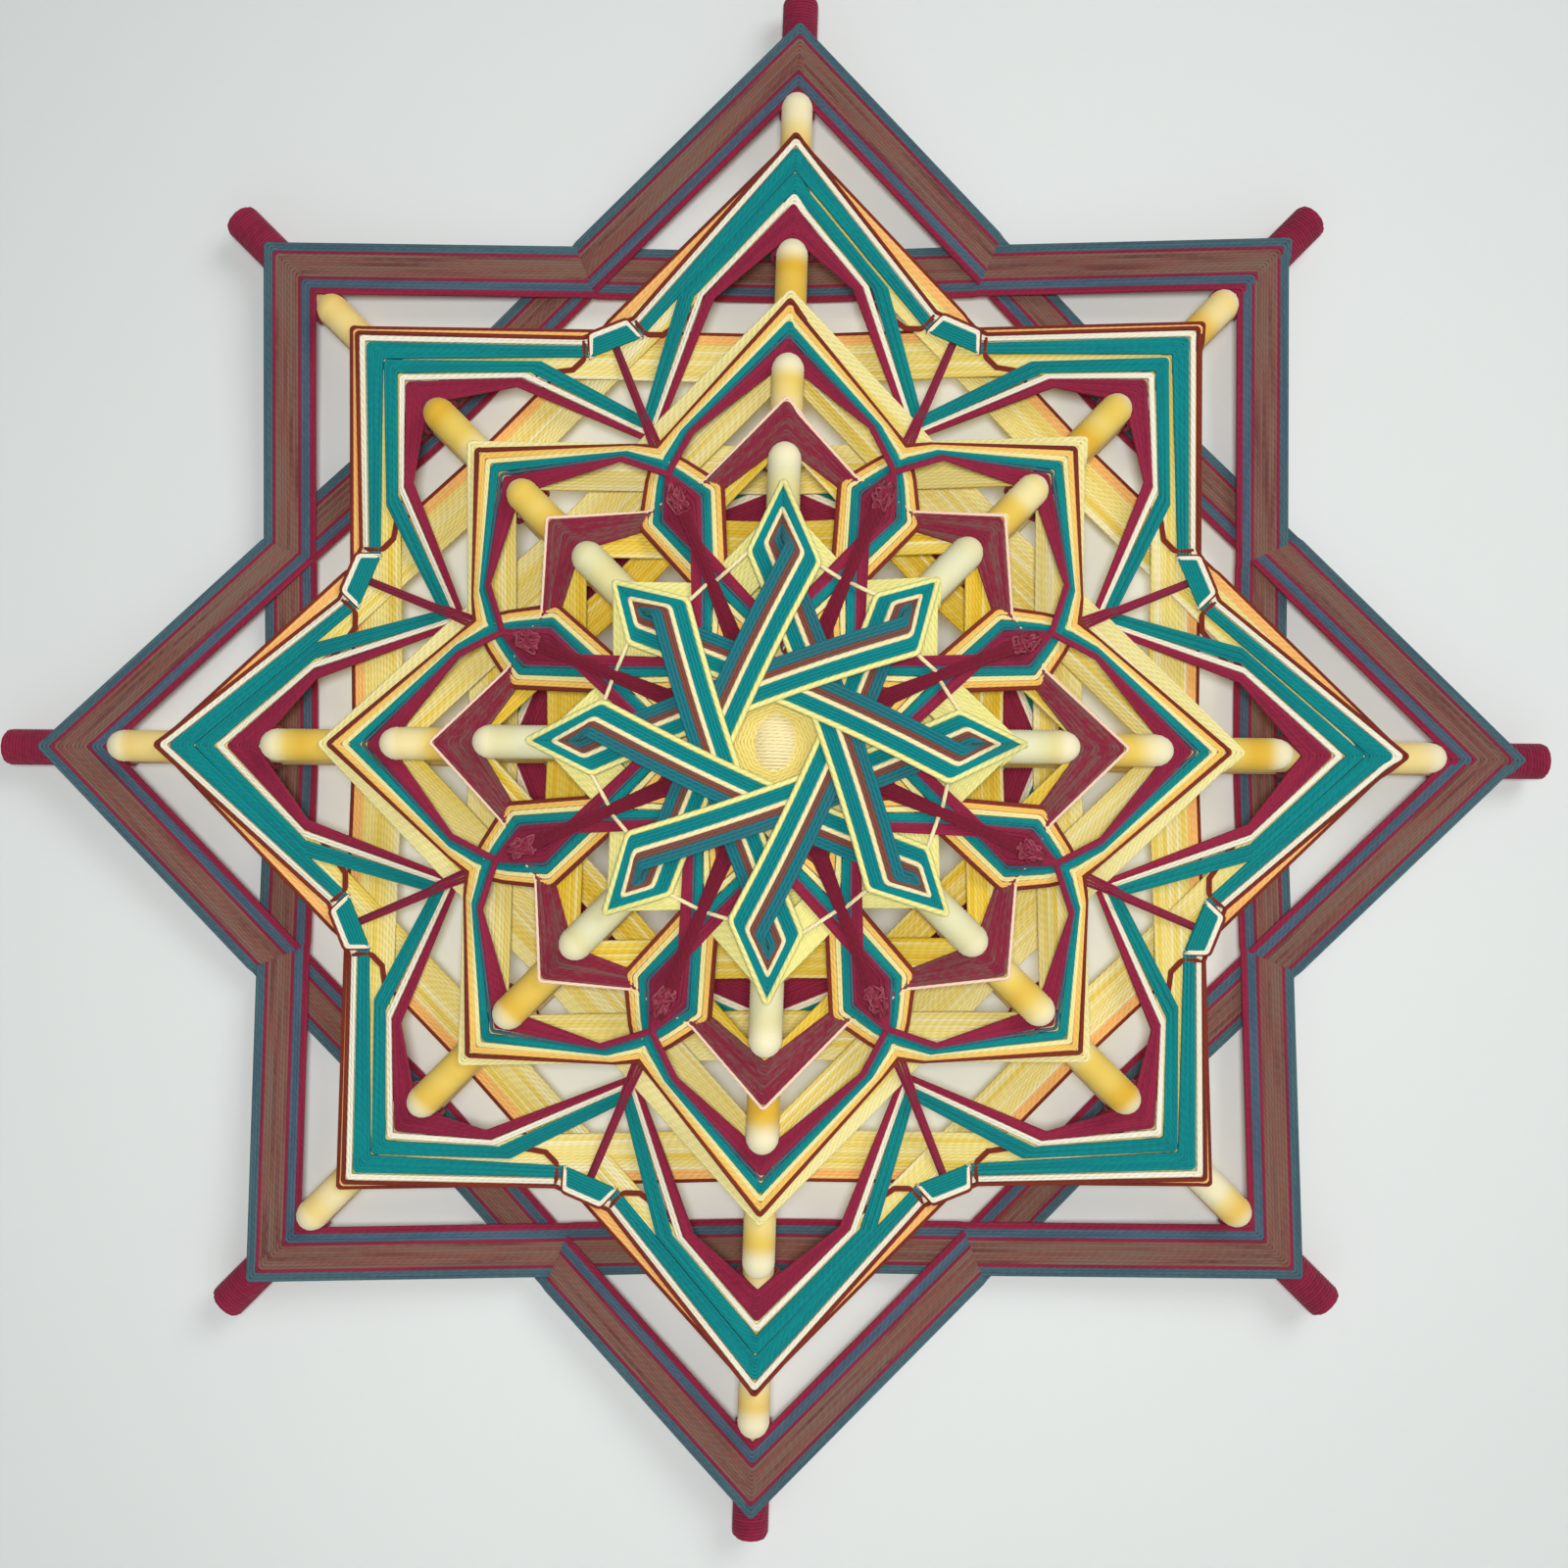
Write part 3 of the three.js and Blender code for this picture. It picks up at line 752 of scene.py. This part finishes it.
patch_level = levels[1] + bridge_rise + 1.4
patch_outer = 148.6
patch_depth = 6.2
patch_half = 6.4
patch_flare = 0.41
patch_fold = 2.4
patch_corner = 0.75
barb_route = [(148.2, 3.5, patch_level - 0.4), (143.2, 4.4, patch_level - 0.6),
              (141.8, 6.4, levels[1] + 2.6), (146.5, 11.0, levels[1] + 2.9)]
patch_rows = [(dark_red, [-0.9]), (cream, [0, 0.75]), (teal, [1.65, 2.55, 3.45, 4.35, 5.25, 6.1])]
for arm in range(8):
    angle = halfway(arm)
    pull = gap_drift[arm]
    for material, insets in patch_rows:
        for inset in insets:
            row = patch_outer - inset
            inner = patch_outer - patch_depth
            under = patch_level - patch_fold
            half = patch_half - min(max(inset, 0), patch_corner)
            near = half + patch_flare * max(0, inset)
            far = half + patch_flare * patch_depth
            ends = [(row, near, patch_level), (inner, far, patch_level), (inner - 0.4, far, under)]
            if material is teal:
                ends = [(row, near, patch_level), (row, near + 1, under)]
            path = [place(angle, radius + pull, aside, level) for radius, aside, level in reversed(ends)]
            path += [place(angle, radius + pull, -aside, level) for radius, aside, level in ends]
            zigzag.append((path, strand, material))
    for side in (-1, 1):
        for beside in (0, 0.9):
            path = [gap_point(arm, radius - beside, side * degrees, level)
                    for radius, degrees, level in barb_route]
            zigzag.append((path, strand, dark_red))
wound_piece("second_zigzag_yarn", zigzag, "teal_yarn", "second_zigzag")

# Second tier, inside the bands: a vee of teal, cream and wine from arm to arm, bent where it leaves the
# arm and hooked behind the ties. A ring of the same yarns lies between the sticks of this tier and the next.
vee_stripes = [
    (teal, 5, (184.0, 178.4), [(151.6, -9.6), (151.2, -11.6)], (117.2, 112.6), 1.35),
    (cream, 2, (177.2, 175.0), [(151.0, -12.0), (150.7, -12.7)], (112.0, 110.4), 1.35),
    (wine, 8, (174.0, 164.4), [(150.4, -12.9), (149.4, -13.8)], (109.8, 108.6), 1.0),
]
vee_bend_rise = 4.2
vee_hook_rise = 1.0
vee_draw = 3.6


def across(edges, share):
    """A place between the outer and the inner edge of a stripe, as radius and degrees from halfway."""
    return [part_way(pair, share) for pair in zip(*edges)]


def drawn_sides(arm, draw):
    """How far yarn between two arms is drawn in beside the first and the second: only at a slanting arm."""
    return draw * (arm % 2), draw * ((arm + 1) % 2)


def to_hook(loops, at_bend, at_hook):
    """The way of the vee's yarn between two arms: a bend, the hook behind the tie, and a bend."""
    def points(arm, share):
        radius, degrees = across(at_bend, share)
        lift = pile(share, loops, 0.45)
        bend = levels[1] + vee_bend_rise + lift
        first_draw, second_draw = drawn_sides(arm, vee_draw)
        return [gap_point(arm, radius - first_draw, degrees, bend),
                gap_point(arm, part_way(at_hook, share), 0, levels[1] + vee_hook_rise + lift),
                gap_point(arm, radius - second_draw, -degrees, bend)]

    return points


def flat_round(outer, pitch, loops, level):
    """A flat eight-sided spiral between the sticks of two tiers."""
    visits = range(8 * loops + 1)
    return [place(arm_angle(visit % 8), outer - pitch * visit / 8, 0, level) for visit in visits]


vee = []
for material, loops, at_arm, at_bend, at_hook, height in vee_stripes:
    path = ring_strand(1, at_arm, loops, 2, to_hook(loops, at_bend, at_hook), height, diagonal_step)
    vee.append((path, filling(at_arm, loops), material))

ring_level = 25.5
ring_pitch = 1.1
ring_thickness = 1.2
ring_stripes = [(teal, 3, 89.0), (cream, 2, 85.7), (wine, 8, 83.5)]
for material, loops, outer in ring_stripes:
    vee.append((flat_round(outer, ring_pitch, loops, ring_level), ring_thickness, material))
wound_piece("second_vee_yarn", vee, "wine_yarn", "second_vee")

# Ties: short wine cords that draw each bridge towards the third tier, over the hooked vee and on to the
# point between two petals.
gap_names = ["right_upper", "upper_right", "upper_left", "left_upper",
             "left_lower", "lower_left", "lower_right", "right_lower"]
tie_route = [(145, 0.8, 20.4), (117, 1.0, 25.4), (112.5, 1.2, 33.8), (101, 1.7, 35.2), (97, 2.4, 35.4)]
tie_spreads = (-1, 1, 0.35, -0.35)
tie_rise = 0.35


def hairpins(arm, route, spreads, rise):
    """One cord laid to and fro in a gap. The route gives radius, half width and level, and each pass has its
    own spread over the width and lies higher than the one before."""
    path = []
    for i, spread in enumerate(spreads):
        there = [gap_point(arm, radius, 0, level + rise * i) + place(halfway(arm), 0, spread * half, 0)
                 for radius, half, level in route]
        path += there if i % 2 == 0 else there[::-1]
    return path


for arm in range(8):
    path = hairpins(arm, tie_route, tie_spreads, tie_rise)
    node = f"tie_{gap_names[arm]}"
    wound_piece(node + "_yarn", [(path, strand, wine)], "wine_yarn", node)

# Third tier: the sticks carry a wide cream and yellow square and diamond, and over these the petals. The
# yarns of two petals cross between their arms, open into a drop, cross again at its point and go on behind
# the front sticks.
orange = yarn("orange_yellow_yarn", (240, 198, 106), (234, 178, 80), 0.4)
pale_yellow = yarn("pale_yellow_yarn", (239, 230, 164), (230, 212, 130), 0.3)
yellow_stops = [(0.32, (242, 236, 192)), (0.5, (238, 223, 140)), (0.7, (230, 203, 78))]
yellow_ombre = yarn("yellow_ombre_yarn", (230, 215, 140), (230, 200, 104), 0.2, yellow_stops, 120)
base_band(2, "square", 138.2, [(pale_yellow, 4), (yellow_ombre, 11)], "yellow_yarn")
base_band(2, "diamond", 142.8, [(pale_yellow, 4), (yellow_ombre, 16)], "yellow_yarn")

petal_step = 5.0
petal_bend_level = 43.0
petal_cross_level = 44.0
petal_rank = 0.9
shoulder_level = 48.9
shoulder_rank = 0.4
shoulder_draw = 3.0
point_level = 61.4
point_radius = 45
point_fall = 0.2
point_rank = 0.25
petal_end_level = 63.2
pass_over = 0.3
leg_flat = 0.4
leg_rise = 0.2
under_star = (27, 19)
petal_stripes = [
    (dark_red, 1, (139.4, 138.1), [(104.4, -3.4), (104.2, -3.6)], (101.0, 100.4),
     [(82.6, 10.2), (82.4, 9.7)], (38.5, 39.5), [(29.4, 12.6), (29.8, 12.9)]),
    (orange, 2, (137.4, 135.2), [(104.0, -3.9), (103.6, -4.5)], (99.6, 98.0),
     [(82.2, 9.3), (81.9, 8.5)], (41.0, 45.5), [(30.2, 13.2), (31.0, 13.8)]),
    (pale_yellow, 2, (134.8, 133.0), [(103.4, -4.6), (103.2, -5.0)], (97.4, 96.0),
     [(81.7, 8.1), (81.4, 7.3)], (46.5, 51.0), [(31.5, 14.3), (32.5, 15.2)]),
    (teal, 3, (132.4, 129.4), [(102.9, -5.2), (102.3, -5.8)], (95.2, 92.6),
     [(81.2, 6.9), (80.7, 5.5)], (52.0, 58.5), [(33.0, 16.0), (34.3, 17.3)]),
    (blue_grey, 1, (128.6, 127.8), [(102.0, -6.0), (101.9, -6.2)], (92.0, 91.6),
     [(80.5, 5.1), (80.4, 4.8)], (59.3, 60.3), [(34.7, 17.7), (35.0, 18.0)]),
    (wine, 8, (127.0, 119.6), [(101.6, -6.4), (101.1, -7.0)], (91.2, 89.9),
     [(80.2, 4.5), (76.0, 0.3)], (61.0, 70.0), [(35.3, 18.3), (36.4, 20.8)]),
]


def to_drop(rank, loops, at_bend, at_cross, at_shoulder, at_point, at_end):
    """The way of a petal's yarn between two arms: over the crossing to one shoulder of the drop, over its
    point, round under the star and back by the other shoulder. Inner stripes lie higher, by their rank."""
    def points(arm, share):
        lift = pile(share, loops, 0.3)
        bend, bend_angle = across(at_bend, share)
        cross = part_way(at_cross, share)
        shoulder, shoulder_angle = across(at_shoulder, share)
        point = part_way(at_point, share)
        end, end_angle = across(at_end, share)
        first, second = [shoulder - draw for draw in drawn_sides(arm, shoulder_draw)]
        at_bend_level = petal_bend_level + petal_rank * rank + lift
        over_cross = petal_cross_level + petal_rank * rank + lift
        at_shoulder_level = shoulder_level + shoulder_rank * rank + lift
        over_point = point_level - point_fall * (point - point_radius) + point_rank * rank + lift
        leg_angle = shoulder_angle * leg_flat
        first_leg, second_leg = [part_way((cross, side), leg_flat) for side in (first, second)]
        return [
            gap_point(arm, bend, bend_angle, at_bend_level),
            gap_point(arm, cross, 0, over_cross),
            gap_point(arm, second_leg, leg_angle, over_cross + leg_rise),
            gap_point(arm, second, shoulder_angle, at_shoulder_level),
            gap_point(arm, point, 0, over_point),
            gap_point(arm, end, -end_angle, petal_end_level),
            gap_point(arm, under_star[0], -under_star[1], petal_end_level),
            gap_point(arm, under_star[0], under_star[1], petal_end_level),
            gap_point(arm, end, end_angle, petal_end_level),
            gap_point(arm, point, 0, over_point + pass_over),
            gap_point(arm, first, -shoulder_angle, at_shoulder_level),
            gap_point(arm, first_leg, -leg_angle, over_cross + pass_over + leg_rise),
            gap_point(arm, cross, 0, over_cross + pass_over),
            gap_point(arm, bend, -bend_angle, at_bend_level),
        ]

    return points


petals = []
for rank, (material, loops, at_arm, *way) in enumerate(petal_stripes):
    path = ring_strand(2, at_arm, loops, 2, to_drop(rank, loops, *way), over_band, petal_step)
    petals.append((path, filling(at_arm, loops), material))
wound_piece("third_petals_yarn", petals, "teal_yarn", "third_petals")

# Fourth tier: a square and a diamond band of gold yarn, and over them chevrons of wine yarn streaked with
# brown and edged in pale pink, wound on the same sticks and hooked behind the shoulders of the drops.
gold_stops = [(0.32, (240, 230, 170)), (0.46, (232, 206, 90)), (0.6, (224, 186, 48))]
gold_ombre = yarn("gold_ombre_yarn", (225, 180, 45), (226, 192, 70), 0.25, gold_stops, 110)
base_band(3, "square", 101.0, [(gold_ombre, 12)], "gold_yarn")
base_band(3, "diamond", 104.6, [(gold_ombre, 10)], "gold_yarn")

pale_pink = yarn("pale_pink_yarn", (246, 216, 190), (236, 194, 166), 0.3)
streaked_wine = yarn("streaked_wine_yarn", (134, 35, 58), (120, 82, 76), 0.8)
chevron_step = 4.5
hook_level = 48.4
chevron_stripes = [
    (pale_pink, 1, (105.4, 104.4), [(85.6, -7.0), (85.3, -7.1)]),
    (streaked_wine, 11, (103.8, 90.6), [(85.0, -7.2), (81.0, -9.8)]),
]


def behind_drop(loops, at_hook):
    """The way of a chevron's yarn between two arms, hooked behind both shoulders of the drop."""
    def points(arm, share):
        radius, degrees = across(at_hook, share)
        level = hook_level + pile(share, loops, 0.4)
        first_draw, second_draw = drawn_sides(arm, shoulder_draw)
        return [gap_point(arm, radius - first_draw, degrees, level),
                gap_point(arm, radius - second_draw, -degrees, level)]

    return points


chevrons = []
for material, loops, at_arm, at_hook in chevron_stripes:
    path = ring_strand(3, at_arm, loops, 2, behind_drop(loops, at_hook), over_band, chevron_step)
    chevrons.append((path, filling(at_arm, loops), material))
wound_piece("fourth_chevrons_yarn", chevrons, "wine_yarn", "fourth_chevrons")

# Drop cords: wine yarn in hairpins from a tangled knot in each drop towards the centre, drawn over the point
# of the drop and under the star, wider at both ends. Their wine is darker than the wine yarn elsewhere:
# painted shade for the shadow under the star. A round of the same yarn lies between the sticks there, a dark
# backing that also stands in for the shade under the star.
# Painted shade: this wine is darker than the wine yarn, so that the cords and the round look shaded under
# the star.
shade_darkened_wine = yarn("shade_darkened_wine_yarn", (118, 24, 46), (86, 18, 38), 0.4)
cord_route = [(86, 1.8, 51.8), (78, 1.5, 55.0), (68, 1.2, 59.6), (57, 1.2, 62.0), (46, 1.6, 63.0),
              (31, 2.3, 63.1)]
cord_spreads = (-1, 1, 0.6, -0.6, -0.2, 0.2)
cord_rise = 0.1
cord_strand = 1.15
knot_place = 80.5
knot_level = 54.6
knot_height = 1.1
knot_radius = 3.6
knot_length = 1.6
knot_points = 26
knot_strand = 0.95
flecked_wine = yarn("flecked_wine_yarn", (128, 30, 56), (176, 104, 112), 0.7)
cords = []
for arm in range(8):
    cords.append((hairpins(arm, cord_route, cord_spreads, cord_rise), cord_strand, shade_darkened_wine))
    knot = []
    for step in range(knot_points):
        reach = knot_radius * (0.25 + 0.75 * abs(math.sin(2.63 * step + 1.3 * arm)))
        turn = 2.3 * step + 0.5 * math.sin(3.1 * step + arm)
        level = knot_level + knot_height * abs(math.sin(2.9 * step)) + 0.04 * step
        from_middle = place(halfway(arm), knot_length * reach * math.cos(turn), reach * math.sin(turn), 0)
        knot.append(gap_point(arm, knot_place, 0, level) + from_middle)
    cords.append((knot, knot_strand, flecked_wine))
# The round fills the holes under the star with the darkened wine: real yarn, and a dark backing that stands
# in for shade.
under_level = 50.7
under_outer = 49
under_loops = 21
under_pitch = 1
cords.append((flat_round(under_outer, under_pitch, under_loops, under_level), cord_strand, shade_darkened_wine))
wound_piece("drop_cords_yarn", cords, "wine_yarn", "drop_cords")

# Front star: a pale square and diamond wound on the front sticks, and over them one bundle of yarns that
# runs from kite to kite, three arms on each time. It starts high over the others and ends low, so that the
# eight runs lie over one another like a fan's blades. A round of pale yarn binds the crossing of the sticks.
star_yellow = yarn("star_yellow_yarn", (236, 231, 152), (226, 216, 124), 0.3)
star_cream = yarn("star_cream_yarn", (243, 229, 178), (232, 210, 146), 0.3)
star_brown = yarn("star_brown_yarn", (126, 70, 58), (104, 82, 74), 0.5)
star_teal = yarn("star_teal_yarn", (0, 132, 134), (4, 112, 122), 0.4)
blue_teal = yarn("blue_teal_yarn", (20, 116, 126), (58, 98, 108), 0.5)
front_bands = (71.0, 70.5)
front_band_loops = 13
star_tips = (75.5, 72.0)
star_drift = [-1.1, -3.3, 3.0, -4.2, -1.9, -0.7, 1.7, -0.1]
kite_arrive = (54.0, 52.8)
kite_leave = (50.6, 48.8)
kite_sides = (10.1, -11.7)
kite_squeeze = 0.62
run_bow = 1.9
star_low = 65.0
star_high = 70.2
star_turn = 18
run_stops = [-34, -22, -14, -7, 0, 7, 14, 22, 34]
thread_strand = 1.3
thread_inset = 0.6
thread_end = (52, 1.6, 62.6)
star_lines = [
    (star_yellow, 1.8, [0.7]),
    (star_teal, 1.15, [2.05, 3.0, 3.95, 4.9]),
    (star_cream, 1.65, [6.1]),
    (star_brown, 1.15, [7.35, 8.25]),
    (blue_teal, 1.3, [9.25, 10.3, 11.35]),
]


def in_plan(angle, radius, aside):
    """A point of the star as it is seen from the front, without its level."""
    return place(angle, radius, aside, 0)[[0, 2]]


def kite_corners(visit):
    """The corners of a kite's outline, as a yarn comes to them."""
    arm = (3 * visit) % 8
    odd, angle, drift = arm % 2, arm_angle(arm), star_drift[arm]
    return [in_plan(angle, kite_arrive[odd] + 0.5 * drift, kite_sides[0]),
            in_plan(angle, star_tips[odd] + drift, 0),
            in_plan(angle, kite_leave[odd] + 0.5 * drift, kite_sides[1])]


def moved_line(start, end, distance):
    """A line moved to the right of its direction of travel, as a point and a direction."""
    run = (end - start) / np.linalg.norm(end - start)
    return start + np.array([run[1], -run[0]]) * distance, run


def meeting(first, second):
    """Where two lines meet."""
    (start, run), (other_start, other_run) = first, second
    gap = other_start - start
    share = (gap[0] * other_run[1] - gap[1] * other_run[0]) / (run[0] * other_run[1] - run[1] * other_run[0])
    return start + run * share


def star_run(start, end):
    """Points of a run across the star, from high to low, bowed a little outwards by the hub."""
    length = np.linalg.norm(end - start)
    nearest = -start.dot(end - start) / length
    middle, swing = (star_high + star_low) / 2, (star_high - star_low) / 2
    outwards = start + (end - start) * nearest / length
    outwards = outwards / np.linalg.norm(outwards)
    points = []
    for along in [0] + [nearest + away for away in run_stops] + [length]:
        at = start + (end - start) * along / length
        at = at + outwards * run_bow * (1 - (2 * along / length - 1) ** 2)
        level = middle - swing * math.tanh((along - nearest) / star_turn)
        points.append(np.array([at[0], -level, at[1]]))
    return points


def star_strand(distance):
    """One yarn of the star, a distance inside its outline, through all eight kites and back to the first."""
    kites = [kite_corners(visit) for visit in range(-1, 11)]
    runs = [moved_line(here[2], there[0], distance) for here, there in zip(kites, kites[1:])]
    points = []
    for visit in range(1, 10):
        arrive, tip, leave = kites[visit]
        side_in = moved_line(arrive, tip, distance * kite_squeeze)
        side_out = moved_line(tip, leave, distance * kite_squeeze)
        next_arrive, next_tip, _ = kites[visit + 1]
        next_in = moved_line(next_arrive, next_tip, distance * kite_squeeze)
        turn = meeting(side_in, side_out)
        points.append(np.array([turn[0], -star_low, turn[1]]))
        if visit < 9:
            points += star_run(meeting(side_out, runs[visit]), meeting(runs[visit], next_in))
    return points


star = []
for first_arm in (0, 1):
    path = band_strand(first_arm, 4, front_bands[first_arm], base_pitch, 0, front_band_loops)
    star.append((path, base_strand, star_yellow))
for material, thickness, distances in star_lines:
    star += [(star_strand(distance), thickness, material) for distance in distances]
for arm in range(8):
    odd, drift = arm % 2, 0.5 * star_drift[arm]
    cord_radius, cord_aside, cord_level = thread_end
    for side, gap, radius in ((-1, (arm - 1) % 8, kite_leave[odd]), (1, arm, kite_arrive[odd])):
        aside = kite_sides[0] - thread_inset if side > 0 else kite_sides[1] + thread_inset
        corner = place(arm_angle(arm), radius + drift + thread_inset, aside, star_low - 0.3)
        cord = gap_point(gap, cord_radius, 0, cord_level) + place(halfway(gap), 0, -side * cord_aside, 0)
        sag = (corner + cord) / 2 + np.array([0, 0.4, 0])
        star.append(([corner, sag, cord], thread_strand, star_cream))

hub_level = 62.5
hub_outer = 15.5
hub_loops = 12
hub_pitch = 1.0
hub_strand = 1.15
hub_yellow = yarn("hub_yellow_yarn", (235, 217, 130), (228, 204, 104), 0.3)
star.append((flat_round(hub_outer, hub_pitch, hub_loops, hub_level), hub_strand, hub_yellow))
button_level = 58.4
button_half = 8.2
button_rows = 17
button_leans = [-75, -50, -25, 0, 25, 50, 75]
button = []
for row in range(button_rows):
    along = button_half * (2 * row / (button_rows - 1) - 1)
    crown = 6.6 - 2.4 * (along / button_half) ** 2
    wide = 7.4 - 1.8 * (along / button_half) ** 4
    for lean in button_leans if row % 2 else button_leans[::-1]:
        turn = math.radians(lean)
        level = button_level + crown * math.cos(turn)
        button.append(place(arm_angle(2), along, wide * math.sin(turn), level))
star.append((button, hub_strand, star_cream))
wound_piece("front_star_yarn", star, "teal_yarn", "front_star")
